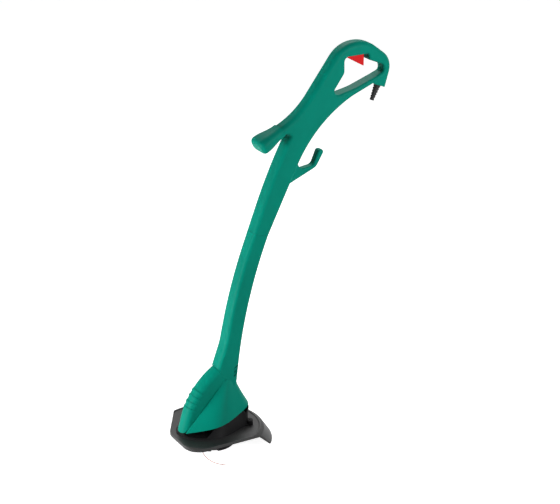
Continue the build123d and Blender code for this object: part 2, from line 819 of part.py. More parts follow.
def shaft_solid(inset, overrun):
    """The lower shaft's outer form, or with an inset the space inside it, open at both ends."""
    front_top = top_front + seam_axis * overrun
    rear_top = top_rear + seam_axis * overrun
    root = nose_root - lean(shaft_foot_lean, overrun)
    rear_foot = Vector(*shaft_rear_foot) - lean(shaft_rear_lean, overrun)
    crest = Vector(*crest_top) - lean(shaft_foot_lean, 2 * overrun)
    front_radii = [shaft_foot_radius, bend_radius(shaft_foot, front_bend, top_front, bend_share * bend_share)]
    rear_radii = [bend_radius(top_rear, rear_bend, shaft_rear_foot, bend_share)]
    chains = [([root, shaft_foot, front_bend, front_top], front_radii, shaft_round),
              ([rear_top, rear_bend, rear_foot], rear_radii, rear_round), ([crest], [], 0)]
    return rounded_form(side_plane, chains, half_thick, inset)


def joint_plane(rise):
    """A plane parallel to the head's sloping joint, at a height over it."""
    return Plane(origin=(0, 0, joint_z + rise), x_dir=(cos(joint_tilt), 0, sin(joint_tilt)),
                 z_dir=(-sin(joint_tilt), 0, cos(joint_tilt)))


def crest_x(rise):
    """Where the crest line stands at a height over the joint."""
    return (crest_top[1] - crest_fall * crest_top[0] - joint_z - rise) / (joint_slope - crest_fall)


def shoulder_place(wide_x, side, rear):
    """A point on a cheek's side between its widest place and its rear end."""
    return (wide_x + cheek_shoulder * (rear - wide_x), side * cheek_shoulder_share)


def cheek_solid(inset, drop):
    """Both cheeks of the head, or with an inset the space inside them."""
    with BuildPart() as solid:
        for rise, crest_past, wide_x, half_width, rear_x in cheek_sections:
            level = rise - drop if rise == 0 else rise
            front_x = crest_x(level) - (drop if inset else 0)
            front_half = half_thick - inset if inset else half_thick + crest_past
            side = half_width - inset
            rear = rear_x - inset
            places = [(front_x, front_half), (wide_x, side), shoulder_place(wide_x, side, rear),
                      (rear, cheek_rear_half)]
            with BuildSketch(joint_plane(level)):
                with BuildLine():
                    front = front_x * slant
                    back = rear * slant
                    Line((front, -front_half), (front, front_half))
                    for hand in (1, -1):
                        front_way = (wide_x - front_x, hand * cheek_front_pull * (side - front_half))
                        Spline(*[(x * slant, hand * y) for x, y in places],
                               tangents=[front_way, (end_pull, -hand)])
                    Line((back, cheek_rear_half), (back, -cheek_rear_half))
                make_face()
        loft()
    return solid.part


def nose_chains(back, down):
    """The nose's outline, with its back and foot moved out to open the space inside."""
    away = Vector(crest_fall, -1).normalized()
    root = nose_root - Vector(fit_gap, 0)
    tip = nose_tip - lean(90 - nose_rake, down)
    foot = crest_bottom + away * (back - fit_gap) - Vector(0, down)
    crest = Vector(*crest_top) + away * (back - fit_gap)
    brow = meet(nose_tip, 90 - nose_rake, root, 90 - nose_brow_fall)
    radius = bend_radius(nose_tip, brow, root, nose_radius_share)
    return [([tip, brow, root], [radius], nose_round), ([crest], [], 0), ([foot], [], 0)]


# Lower housing shells
head_shaft = shaft_solid(0, 0)
head_cheeks = cheek_solid(0, 0)
shaft_space = shaft_solid(wall, space_overrun)
cheek_space = cheek_solid(wall, post_overlap)
head_screw_planes = [cross_plane(place, boss_seat) for place in head_screw_places]
head_bosses = rods(head_screw_planes, boss_radius, -5 * half_thick, 5 * half_thick)
base_posts = [(x, side * y) for x, y in base_post_places for side in (-1, 1)]
post_planes = [Plane(origin=(x, y, joint_z + joint_slope * x - base_screw_seat), z_dir=(0, 0, -1))
               for x, y in base_posts]
head_posts = rods(post_planes, base_post_radius, -8 * half_thick, -base_screw_seat + post_overlap)
post_pilots = rods(post_planes, screw_shank_radius + screw_pilot_gap, -boss_screw_length - fit_gap, 0)
vent_places = [Vector(*vent_start) + lean(shaft_rear_lean, number * vent_pitch)
               for number in range(vent_count)]
with BuildPart() as vents:
    for hand in (-1, 1):
        with BuildSketch(side_plane.offset(hand * (half_thick - 2 * wall))):
            with Locations(*[(place.X, place.Y) for place in vent_places]):
                SlotOverall(*vent_size, rotation=vent_tilt)
        extrude(amount=hand * half_thick)
with BuildPart() as head_hollow:
    add(shaft_space)
    add(cheek_space)
    add(head_bosses, mode=Mode.SUBTRACT)
    add(head_posts, mode=Mode.SUBTRACT)
with BuildPart() as head_housing:
    add(head_shaft)
    add(head_cheeks)
    for cut in (head_hollow.part, post_pilots, vents.part):
        add(cut, mode=Mode.SUBTRACT)
head_shell_left, head_shell_right = halves(head_housing.part, head_screw_planes)
save(head_shell_left, "head_shell_left")
save(head_shell_right, "head_shell_right")
head_screws = screw_group(head_screw_planes, boss_screw_length)
save(head_screws, "head_screws")
base_screws = screw_group(post_planes, boss_screw_length)
save(base_screws, "base_screws")

# Ribbed nose cover
nose_body = rounded_form(side_plane, nose_chains(0, 0), half_thick)
nose_space = rounded_form(side_plane, nose_chains(6 * wall, 4 * wall), half_thick, wall)
nose_swell = rounded_form(side_plane, nose_chains(0, 0), half_thick, -nose_rib_rise)
with BuildPart() as rib_slabs:
    brow_points, brow_radii = nose_chains(0, 0)[0][:2]
    with BuildLine(mode=Mode.PRIVATE):
        brow_line = FilletPolyline(*[(point.X, 0, point.Y) for point in brow_points], radius=brow_radii)
    for number in range(nose_rib_count):
        share = nose_rib_first + number * nose_rib_pitch
        with BuildSketch(Plane(origin=brow_line @ share, x_dir=(0, 1, 0), z_dir=brow_line % share)):
            Rectangle(3 * half_thick, nose_rib_depth)
        extrude(amount=nose_rib_width / 2, both=True)
with BuildPart() as nose_ribs:
    add(rib_slabs.part)
    add(nose_swell, mode=Mode.INTERSECT)
with BuildPart() as nose_cover:
    add(nose_body)
    add(nose_ribs.part)
    add(nose_space, mode=Mode.SUBTRACT)
save(nose_cover, "nose_cover")

# Suppression capacitor beside the lead
with BuildPart() as capacitor:
    with BuildSketch(Plane(origin=(capacitor_place[0], 0, capacitor_place[1]))):
        Rectangle(capacitor_depth, 2 * (half_thick - wall - capacitor_gap))
    extrude(amount=capacitor_height / 2, both=True)
save(capacitor, "capacitor")


def boat_form(sections):
    """A body between boat-shaped outlines, each a plane, its corners, an inset and a stretch along X."""
    with BuildPart() as form:
        for plane, outline, inset, stretch in sections:
            front = (outline[0][0] + inset) * stretch
            rear = (outline[-1][0] - inset) * stretch
            sides = [(x * stretch, y + inset) for x, y in outline[1:-1]]
            places = [(front, -boat_end_half)] + sides + [(rear, -boat_end_half)]
            with BuildSketch(plane):
                with BuildLine():
                    Line((front, -boat_end_half), (front, boat_end_half))
                    for hand in (1, -1):
                        Spline(*[(x, -hand * y) for x, y in places],
                               tangents=[(end_pull, hand), (end_pull, -hand)])
                    Line((rear, boat_end_half), (rear, -boat_end_half))
                make_face()
        loft()
    return form.part


# Motor base under the shells, its top set in from the edge of the cheeks and the nose
cheek_wide_x, cheek_half, cheek_rear = cheek_sections[0][2:]
base_shoulder = shoulder_place(cheek_wide_x, cheek_half - base_set_in, cheek_rear - base_set_in)
base_side = half_thick + base_bulge * (cheek_half - half_thick)
base_top_outline = [(nose_tip_x + base_set_in, 0), (crest_bottom_x + base_set_in, base_set_in - half_thick),
                    ((crest_bottom_x + cheek_wide_x) / 2, base_set_in - base_side),
                    (cheek_wide_x, base_set_in - cheek_half), (base_shoulder[0], -base_shoulder[1]),
                    (cheek_rear - base_set_in, 0)]
base_form = boat_form([(Plane.XY.offset(guard_top), base_foot_outline, 0, 1),
                       (joint_plane(-fit_gap), base_top_outline, 0, slant)])
base_space = boat_form([(Plane.XY.offset(guard_top + base_floor), base_foot_outline,
                         base_wall + base_floor / 2, 1),
                        (joint_plane(base_floor), base_top_outline, base_wall, slant)])
base_ring_inner = fan_radius + base_ring_gap
base_ring_top = guard_top + base_ring_rise
lower_bearing_z = guard_top + base_floor + bearing_floor
towers = rods(post_planes, base_post_radius, -base_screw_seat + fit_gap, 2 * half_thick)
tower_seats = rods(post_planes, screw_head_radius + screw_hole_gap, 0, 3 * half_thick)
tower_holes = rods(post_planes, screw_shank_radius + screw_hole_gap, -2 * half_thick, 0)
with BuildPart() as base_hollow:
    add(base_space)
    add(towers, mode=Mode.SUBTRACT)
ears = [Plane(origin=(ear_place[0], side * ear_place[1], guard_top)) for side in (-1, 1)]
ear_posts = rods(ears, ear_radius, 0, ear_height)
ear_pilots = rods(ears, screw_shank_radius + screw_pilot_gap, 0, ear_height)
with BuildPart() as motor_base:
    add(base_form)
    for side in (-1, 1):
        with BuildSketch(Plane.XY.offset(guard_top)):
            with BuildLine():
                Polyline(*[(x, side * y) for x, y in ear_web_outline], close=True)
            make_face()
        extrude(amount=ear_web)
    add(ear_posts)
    add(base_hollow.part, mode=Mode.SUBTRACT)
    with BuildSketch(Plane.XY.offset(guard_top + base_floor / 2)):
        Circle(base_ring_inner + base_ring_wall)
        Circle(base_ring_inner, mode=Mode.SUBTRACT)
    extrude(amount=base_ring_top - guard_top - base_floor / 2)
    with BuildSketch(Plane.XY.offset(guard_top + base_floor / 2)):
        Circle(lower_bearing[0] + bearing_boss_wall)
    extrude(amount=lower_bearing_z + lower_bearing[1] - guard_top - base_floor / 2)
    with BuildSketch(Plane.XY.offset(lower_bearing_z)):
        Circle(lower_bearing[0] + bearing_fit)
    extrude(amount=2 * lower_bearing[1], mode=Mode.SUBTRACT)
    with BuildSketch(Plane.XY.offset(guard_top)):
        Circle(shaft_radius + shaft_hole_gap)
    extrude(amount=base_floor * 2, mode=Mode.SUBTRACT)
    for cut in (ear_pilots, tower_seats, tower_holes):
        add(cut, mode=Mode.SUBTRACT)
save(motor_base, "motor_base")

# Guard: a plate and skirt turned about the spindle, cut to a shield outline
guard_rim_radius = skirt_shoulder_radius - guard_rim_inset
guard_profile = [(guard_hole_radius, guard_top), (guard_rim_radius - guard_bead, guard_top),
                 (guard_rim_radius, guard_top + guard_bead),
                 (guard_rim_radius + guard_bead, guard_top + guard_bead),
                 (guard_rim_radius + 2 * guard_bead, guard_top),
                 (skirt_shoulder_radius, guard_top - guard_plate),
                 (skirt_bottom_radius, skirt_bottom_z), (skirt_bottom_radius - skirt_wall, skirt_bottom_z),
                 (skirt_shoulder_radius - skirt_wall, guard_top - 2 * guard_plate),
                 (guard_rim_radius, guard_top - guard_plate), (guard_hole_radius, guard_top - guard_plate)]
far_side = Vector(cos(radians(guard_far_angle)), sin(radians(guard_far_angle)))
far_along = Vector(far_side.Y, -far_side.X)
shield_over = skirt_bottom_radius + guard_plate
far_rear = far_side * guard_side_reach + far_along * shield_over
far_front = Vector(-guard_front_reach, (guard_side_reach + far_side.X * guard_front_reach) / far_side.Y)
shield_points = [far_front, (-guard_front_reach, -guard_side_reach), (shield_over, -guard_side_reach),
                 (shield_over, far_rear.Y), far_rear]


def shield_form(inset, low, high):
    """An upright body with the shield's outline."""
    with BuildPart() as form:
        with BuildSketch(Plane.XY.offset(low)) as outline:
            with BuildLine():
                Polyline(*shield_points, close=True)
            make_face()
            fillet(outline.vertices().sort_by(Axis.X)[:2], guard_corner_radius)
            if inset:
                offset(amount=-inset)
        extrude(amount=high - low)
    return form.part


shield = shield_form(0, 0, 2 * guard_top)
shield_inside = shield_form(guard_lip_wall, 0, 2 * guard_top)
ear_holes = rods(ears, screw_shank_radius + screw_hole_gap, -2 * guard_plate, guard_plate)
cutter_reach = sqrt(skirt_bottom_radius ** 2 - guard_side_reach ** 2) - cutter_inset - cutter_size[0] / 2
cutter_foot = far_side * guard_side_reach + far_along * cutter_reach
cutter_plane = Plane(origin=(cutter_foot.X, cutter_foot.Y, cutter_bottom + cutter_size[2] / 2),
                     x_dir=(-far_along.X, -far_along.Y, 0), z_dir=(far_side.X, far_side.Y, 0))
cutter_face = cutter_plane.offset(cutter_size[1])
cutter_screw_rise = cutter_screw_height - cutter_size[2] / 2
cutter_screw_spots = [cutter_face.from_local_coords((side * cutter_screw_spacing / 2, cutter_screw_rise, 0))
                      for side in (-1, 1)]
cutter_screw_planes = [Plane(origin=spot, x_dir=cutter_plane.x_dir, z_dir=cutter_plane.z_dir)
                       for spot in cutter_screw_spots]
cutter_pilots = rods(cutter_screw_planes, screw_shank_radius + screw_pilot_gap,
                     -cutter_screw_length - fit_gap, 0)
cutter_holes = rods(cutter_screw_planes, screw_shank_radius + screw_hole_gap, -cutter_size[1], 0)
with BuildPart() as guard_lip_form:
    with BuildSketch(Plane.XY.offset(guard_top - guard_lip)):
        Circle(skirt_shoulder_radius - guard_plate)
    extrude(amount=guard_lip - guard_plate / 2)
    add(shield, mode=Mode.INTERSECT)
    add(shield_inside, mode=Mode.SUBTRACT)
with BuildPart() as guard:
    with BuildSketch(side_plane):
        with BuildLine():
            Polyline(*guard_profile, close=True)
        make_face()
    revolve(axis=Axis.Z)
    add(shield, mode=Mode.INTERSECT)
    add(guard_lip_form.part)
    with BuildSketch(cutter_plane):
        Rectangle(cutter_size[0], cutter_size[2])
    extrude(amount=-cutter_screw_length)
    add(ear_holes, mode=Mode.SUBTRACT)
    add(cutter_pilots, mode=Mode.SUBTRACT)
save(guard, "guard")
guard_screw_planes = [Plane(origin=ear.origin - Vector(0, 0, guard_plate), x_dir=(1, 0, 0), z_dir=(0, 0, -1))
                      for ear in ears]
guard_screws = screw_group(guard_screw_planes, guard_screw_length)
save(guard_screws, "guard_screws")

# Line cutter on the end of the guard's skirt
with BuildPart() as line_cutter:
    with BuildSketch(cutter_plane):
        Rectangle(cutter_size[0], cutter_size[2])
    extrude(amount=cutter_size[1])
    add(cutter_holes, mode=Mode.SUBTRACT)
save(line_cutter, "line_cutter")
cutter_screws = screw_group(cutter_screw_planes, cutter_screw_length)
save(cutter_screws, "cutter_screws")


def ring(name, low, high, outer, inner):
    """A plain turned ring about the spindle, written as a piece of its own."""
    with BuildPart() as piece:
        with BuildSketch(Plane.XY.offset(low)):
            Circle(outer)
            Circle(inner, mode=Mode.SUBTRACT)
        extrude(amount=high - low)
    save(piece, name)


# Motor frame on the base's ring wall, with the stator inside it
frame_bottom = base_ring_top
stator_bottom = frame_bottom + stator_rise
stator_top = stator_bottom + stator_length
frame_top = stator_top + coil_end
with BuildPart() as motor_frame:
    with BuildSketch(Plane.XY.offset(frame_bottom)):
        Circle(stator_radius + frame_wall)
    extrude(amount=frame_top - frame_bottom)
    with BuildSketch(Plane.XY.offset(frame_bottom)):
        Circle(base_ring_inner + base_ring_wall - frame_foot_gap)
    extrude(amount=frame_foot)
    with BuildSketch(Plane.XY.offset(frame_bottom)):
        Circle(stator_radius + bearing_fit)
    extrude(amount=frame_top - frame_bottom, mode=Mode.SUBTRACT)
save(motor_frame, "motor_frame")


def coil_pair(gap, low, high):
    """Two ring sectors on either side of the rotor, wider by a gap."""
    reach = 2 * stator_radius
    spread = reach * tan(radians(coil_half_angle)) + gap
    with BuildPart() as pair:
        for hand in (1, -1):
            with BuildSketch(Plane.XY.offset(low)):
                Circle(stator_radius - yoke_wall + gap)
                Circle(rotor_radius + air_gap + pole_wall - gap, mode=Mode.SUBTRACT)
                with BuildLine():
                    Polyline((0, gap), (hand * reach, spread), (hand * reach, -spread), (0, -gap), close=True)
                make_face(mode=Mode.INTERSECT)
            extrude(amount=high - low)
    return pair


coil_slots = coil_pair(coil_gap, stator_bottom, stator_top).part
with BuildPart() as stator_core:
    with BuildSketch(Plane.XY.offset(stator_bottom)):
        Circle(stator_radius)
        Circle(rotor_radius + air_gap, mode=Mode.SUBTRACT)
    extrude(amount=stator_length)
    add(coil_slots, mode=Mode.SUBTRACT)
save(stator_core, "stator_core")
field_coils = coil_pair(0, stator_bottom - coil_end, stator_top + coil_end - fit_gap)
save(field_coils, "field_coils")

# Bearing bridge over the commutator
commutator_bottom = frame_top + bridge_plate / 2
bearing_bridge_z = commutator_bottom + commutator_length + commutator_gap + bridge_plate
pillar_y = commutator_radius + bridge_pillar[1]
with BuildPart() as bearing_bridge:
    with BuildSketch(Plane.XY.offset(frame_top)):
        Circle(stator_radius + frame_wall)
        Circle(commutator_radius + frame_wall, mode=Mode.SUBTRACT)
    extrude(amount=bridge_plate)
    with BuildSketch(Plane.XY.offset(frame_top)):
        with Locations((0, pillar_y + bridge_pillar[1] / 2), (0, -pillar_y - bridge_pillar[1] / 2)):
            Rectangle(*bridge_pillar)
    extrude(amount=bearing_bridge_z + upper_bearing[1] - frame_top)
    with BuildSketch(Plane.XY.offset(bearing_bridge_z - bridge_plate)):
        Circle(pillar_y + bridge_pillar[1])
    extrude(amount=bridge_plate + upper_bearing[1])
    with BuildSketch(Plane.XY.offset(bearing_bridge_z)):
        Circle(upper_bearing[0] + bearing_fit)
    extrude(amount=upper_bearing[1], mode=Mode.SUBTRACT)
    with BuildSketch(Plane.XY.offset(bearing_bridge_z - bridge_plate)):
        Circle(shaft_radius + air_gap)
    extrude(amount=bridge_plate, mode=Mode.SUBTRACT)
save(bearing_bridge, "bearing_bridge")
ring("upper_bearing", bearing_bridge_z, bearing_bridge_z + upper_bearing[1], upper_bearing[0],
     shaft_top_radius + journal_gap)
ring("lower_bearing", lower_bearing_z, lower_bearing_z + lower_bearing[1], lower_bearing[0],
     shaft_radius + journal_gap)

# Spindle: shaft, rotor, commutator and fan
hub_top = guard_top - hub_gap
hub_socket_bottom = hub_top - 2 * hub_flange
fan_bottom = lower_bearing_z + lower_bearing[1] + fan_gap
with BuildPart() as motor_shaft:
    with BuildSketch(Plane.XY.offset(hub_socket_bottom)):
        Circle(shaft_radius)
    extrude(amount=bearing_bridge_z - fit_gap - hub_socket_bottom)
    with BuildSketch(Plane.XY.offset(bearing_bridge_z - shaft_seat_overlap)):
        Circle(shaft_top_radius)
    extrude(amount=upper_bearing[1])
save(motor_shaft, "motor_shaft")
ring("rotor_core", stator_bottom, stator_top, rotor_radius, shaft_radius)
ring("commutator", commutator_bottom, commutator_bottom + commutator_length, commutator_radius, shaft_radius)
with BuildPart() as cooling_fan:
    with BuildSketch(Plane.XY.offset(fan_bottom)):
        Circle(fan_radius)
    extrude(amount=fan_plate)
    with BuildSketch(Plane.XY.offset(fan_bottom)):
        Circle(fan_hub_radius)
    extrude(amount=fan_height)
    with BuildSketch(Plane.XY.offset(fan_bottom)):
        with PolarLocations((fan_radius + fan_hub_radius) / 2 - fan_plate / 2, fan_blade_count):
            Rectangle(fan_radius - fan_hub_radius, fan_plate)
    extrude(amount=fan_height)
    with BuildSketch(Plane.XY.offset(fan_bottom)):
        Circle(shaft_radius)
    extrude(amount=fan_height, mode=Mode.SUBTRACT)
save(cooling_fan, "cooling_fan")

# Brush gear on the bridge, one set on each side
brush_z = frame_top + bridge_plate + brush_holder_wall + brush_size[2] / 2 + brush_gap
brush_in = commutator_radius + journal_gap
holder_in = commutator_radius + coil_gap


def brush_blocks(near, far, width, height):
    """A block on each side of the commutator, level with the brushes."""
    with BuildPart() as pair:
        for hand in (1, -1):
            with BuildSketch(Plane(origin=(hand * (near + far) / 2, 0, brush_z))):
                Rectangle(far - near, width)
            extrude(amount=height / 2, both=True)
    return pair


spring_end = holder_in + brush_holder_length - brush_holder_wall
holder_space = brush_blocks(holder_in - brush_holder_wall, spring_end, brush_size[1] + 2 * brush_gap,
                            brush_size[2] + 2 * brush_gap).part
brush_holders = brush_blocks(holder_in, holder_in + brush_holder_length,
                             brush_size[1] + 2 * brush_holder_wall,
                             brush_size[2] + 2 * brush_holder_wall + 2 * brush_gap)
with BuildPart() as hollow_holders:
    add(brush_holders.part)
    add(holder_space, mode=Mode.SUBTRACT)
save(hollow_holders, "brush_holders")
save(brush_blocks(brush_in, brush_in + brush_size[0], brush_size[1], brush_size[2]), "brushes")
with BuildPart() as brush_springs:
    for hand in (1, -1):
        near_plane = Plane(origin=(hand * (brush_in + brush_size[0]), 0, brush_z), z_dir=(hand, 0, 0))
        with BuildSketch(near_plane):
            Circle(brush_size[1] / 2)
            Circle(brush_size[1] / 2 - brush_spring_wall, mode=Mode.SUBTRACT)
        extrude(amount=spring_end - brush_in - brush_size[0])
save(brush_springs, "brush_springs")

# Cutting head: hub, drum, spool and tap button
drum_top = guard_top - guard_lip - drum_gap
drum_bottom = cap_bottom + cap_plate
spool_bottom = drum_bottom + fit_gap + button_flange + fit_gap
spool_flange_radius = drum_radius - drum_wall - spool_flange_gap
hub_post_bottom = spool_bottom - fit_gap + tap_travel + hub_post_gap
line_way = (Vector(*line_points[1]) - Vector(*line_points[0])).normalized()
eyelet_seat = drum_radius - drum_wall - eyelet_sink
eyelet_plane = Plane(origin=(eyelet_seat * cos(radians(eyelet_turn)), eyelet_seat * sin(radians(eyelet_turn)),
                             eyelet_height), z_dir=line_way)
with BuildPart() as drive_hub:
    with BuildSketch(Plane.XY.offset(drum_top)):
        Circle(hub_flange_radius)
    extrude(amount=hub_flange)
    with BuildSketch(Plane.XY.offset(drum_top)):
        Circle(hub_radius)
    extrude(amount=hub_top - drum_top)
    with BuildSketch(Plane.XY.offset(hub_post_bottom)):
        Circle(hub_post_radius)
    extrude(amount=drum_top - hub_post_bottom)
    with BuildSketch(Plane.XY.offset(hub_top)):
        Circle(shaft_radius)
    extrude(amount=hub_socket_bottom - hub_top, mode=Mode.SUBTRACT)
save(drive_hub, "drive_hub")
eyelet_hole = rods([eyelet_plane], eyelet_radius, 0, eyelet_length)
with BuildPart() as spool_drum:
    with BuildSketch(Plane.XY.offset(drum_bottom)):
        Circle(drum_radius)
    extrude(amount=drum_top - drum_bottom)
    fillet(spool_drum.edges().filter_by(GeomType.CIRCLE).sort_by(Axis.Z)[-1], drum_wall)
    with BuildSketch(Plane.XY.offset(drum_bottom)):
        Circle(drum_radius - drum_wall)
    extrude(amount=drum_top - drum_bottom - drum_wall, mode=Mode.SUBTRACT)
    with BuildSketch(Plane.XY.offset(drum_top)):
        Circle(hub_post_radius)
    extrude(amount=-drum_wall, mode=Mode.SUBTRACT)
    add(eyelet_hole, mode=Mode.SUBTRACT)
save(spool_drum, "spool_drum")
with BuildPart() as line_eyelet:
    with BuildSketch(eyelet_plane):
        Circle(eyelet_radius)
        Circle(eyelet_bore, mode=Mode.SUBTRACT)
    extrude(amount=eyelet_length)
save(line_eyelet, "line_eyelet")
with BuildPart() as spool:
    with BuildSketch(Plane.XY.offset(spool_bottom)):
        Circle(spool_hub_radius)
    extrude(amount=spool_height)
    for level in (spool_bottom, spool_bottom + spool_height - spool_flange):
        with BuildSketch(Plane.XY.offset(level)):
            Circle(spool_flange_radius)
        extrude(amount=spool_flange)
    with BuildSketch(Plane.XY.offset(spool_bottom)):
        Circle(hub_post_radius + spool_bore_gap)
    extrude(amount=spool_height, mode=Mode.SUBTRACT)
save(spool, "spool")
ring("line_winding", spool_bottom + spool_flange, spool_bottom + spool_height - spool_flange,
     spool_flange_radius - winding_gap, spool_hub_radius)
with BuildPart() as tap_button:
    with BuildSketch(Plane.XY):
        Circle(button_radius)
    extrude(amount=spool_bottom - fit_gap)
    fillet(tap_button.edges().sort_by(Axis.Z)[0], button_edge_round)
    with BuildSketch(Plane.XY.offset(spool_bottom - fit_gap)):
        Circle(button_flange_radius)
    extrude(amount=-button_flange)
save(tap_button, "tap_button")
spring_bottom = spool_bottom + spool_height
spool_spring = coil_spring((0, 0, spring_bottom), tap_spring_radius, tap_spring_wire / 2,
                           drum_top - drum_wall - spring_bottom, tap_spring_turns)
save(spool_spring, "spool_spring")
with BuildPart() as spool_cap:
    with BuildSketch(Plane.XY.offset(cap_bottom)):
        Circle(drum_radius)
        Circle(button_radius + fit_gap, mode=Mode.SUBTRACT)
        with PolarLocations(drum_radius, 2, start_angle=cap_notch_turn):
            Circle(cap_notch, mode=Mode.SUBTRACT)
    extrude(amount=cap_plate)
    with BuildSketch(Plane.XY.offset(cap_bottom + cap_plate)):
        Circle(drum_radius - drum_wall - fit_gap)
        Circle(drum_radius - 2 * drum_wall, mode=Mode.SUBTRACT)
    extrude(amount=cap_rim)
save(spool_cap, "spool_cap")

# Nylon line outside the drum
line_radii = route_radii(line_points)
with BuildPart() as cutting_line:
    with BuildLine():
        line_path = FilletPolyline(*line_points, radius=line_radii)
    with BuildSketch(Plane(origin=line_path @ 0, z_dir=line_path % 0)):
        Circle(line_radius)
    sweep()
save(cutting_line, "cutting_line")
print("line bend radii", [round(radius, 1) for radius in line_radii])
section = pi * line_radius ** 2
print("line length", round(line_path.length, 2), "volume", round(cutting_line.part.volume, 1),
      "section by length", round(section * line_path.length, 1))
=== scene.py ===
import json
from math import cos, radians, sin

import bpy
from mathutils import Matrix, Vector


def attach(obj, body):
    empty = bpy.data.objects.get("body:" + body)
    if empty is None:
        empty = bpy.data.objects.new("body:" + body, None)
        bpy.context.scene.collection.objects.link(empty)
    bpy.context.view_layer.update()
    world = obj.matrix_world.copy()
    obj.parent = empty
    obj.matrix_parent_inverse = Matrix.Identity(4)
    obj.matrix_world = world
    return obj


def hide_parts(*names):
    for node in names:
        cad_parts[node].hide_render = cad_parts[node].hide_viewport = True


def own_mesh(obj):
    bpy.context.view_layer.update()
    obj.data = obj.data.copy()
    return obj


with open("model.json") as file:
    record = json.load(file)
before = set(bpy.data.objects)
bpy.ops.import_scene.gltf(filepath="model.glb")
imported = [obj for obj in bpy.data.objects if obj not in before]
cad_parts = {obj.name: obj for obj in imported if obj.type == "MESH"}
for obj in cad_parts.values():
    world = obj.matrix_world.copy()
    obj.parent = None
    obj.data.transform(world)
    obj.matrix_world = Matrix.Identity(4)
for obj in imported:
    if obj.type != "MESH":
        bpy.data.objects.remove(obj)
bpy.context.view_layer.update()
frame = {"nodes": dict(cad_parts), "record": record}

# View of the photograph
view_azimuth = -30.0
view_elevation = 22.5
view_distance = 4.0
view_aim = Vector((0.1724, -0.0109, 0.4302))
sensor_width = 36.0
lens = 116.9

# Cutting line, in metres, from its eyelet to its cut end
line_points = [(-0.0404, -0.0362, 0.0182), (-0.0510, -0.0520, 0.0160), (-0.0545, -0.0720, 0.0128),
               (-0.0515, -0.0925, 0.0096), (-0.0420, -0.1085, 0.0068), (-0.0265, -0.1188, 0.0050)]
line_diameter = 0.0016

# Coil springs: the body that holds each, the joint that presses it, its fixed end's height and its stroke
springs = [("trigger_spring", "housing", "trigger_pivot", 0.8755, 0.0060),
           ("spool_spring", "spindle", "tap_slide", 0.0285, 0.0032)]

# Studio
floor_half = 12.0
floor_drop = 0.0004
floor_colour = (0.84, 0.84, 0.84)
floor_glow = 0.92
horizon_light = 0.16
zenith_light = 0.024
horizon_band = 0.55

# Studio lamps: the place of each, the point it faces, its width, height and power
lamps = [("side_light", (-1.65, 0.1, 0.25), (0.05, 0.0, 0.2), 0.5, 0.6, 40.0),
         ("front_light", (0.9, -1.5, 1.15), (0.28, 0.0, 0.72), 0.9, 0.9, 23.0),
         ("back_light", (0.75, 1.2, 1.9), (0.2, 0.0, 0.45), 0.8, 0.8, 18.0)]

# Surfaces, sizes in metres
plastic_edge = 0.0008
plastic_wear = 0.5
metal_edge = 0.0003
line_edge = 0.0002
scuff_stretch = (1.0, 1.0, 0.12)
brush_stretch = (1.0, 1.0, 0.05)
brush_relief = 0.00001
streak_relief = 0.00004

# Width of a Wave texture's band at a scale of one
wave_band = 0.314

# Sockets of a Mix node, by number because their names repeat
mix_numbers = (2, 3)
mix_colours = (6, 7)
mixed_colour = 2


def srgb(red, green, blue):
    """The linear colour of an 8-bit display colour."""
    def channel(value):
        share = value / 255
        return share / 12.92 if share <= 0.04045 else ((share + 0.055) / 1.055) ** 2.4
    return channel(red), channel(green), channel(blue), 1.0


def times(colour, share):
    """A colour made lighter or darker by a share."""
    return tuple(min(1.0, part * share) for part in colour[:3]) + (1.0,)


def place_camera():
    """The camera that sees the object as the photograph does."""
    azimuth, elevation = radians(view_azimuth), radians(view_elevation)
    back = Vector((sin(azimuth) * cos(elevation), -cos(azimuth) * cos(elevation), sin(elevation)))
    data = bpy.data.cameras.new("camera")
    data.sensor_width = sensor_width
    data.lens = lens
    data.clip_end = 100.0
    camera = bpy.data.objects.new("camera", data)
    camera.location = view_aim + back * view_distance
    camera.rotation_euler = (-back).to_track_quat("-Z", "Y").to_euler()
    bpy.context.scene.collection.objects.link(camera)
    bpy.context.scene.camera = camera


def open_rays(tree):
    """One for the rays that show the ground behind the object: seen, mirrored or let through."""
    path = tree.nodes.new("ShaderNodeLightPath")
    either = tree.nodes.new("ShaderNodeMath")
    either.operation = "MAXIMUM"
    tree.links.new(path.outputs["Is Camera Ray"], either.inputs[0])
    tree.links.new(path.outputs["Is Glossy Ray"], either.inputs[1])
    each = tree.nodes.new("ShaderNodeMath")
    each.operation = "MAXIMUM"
    tree.links.new(either.outputs[0], each.inputs[0])
    tree.links.new(path.outputs["Is Transmission Ray"], each.inputs[1])
    return each.outputs[0]


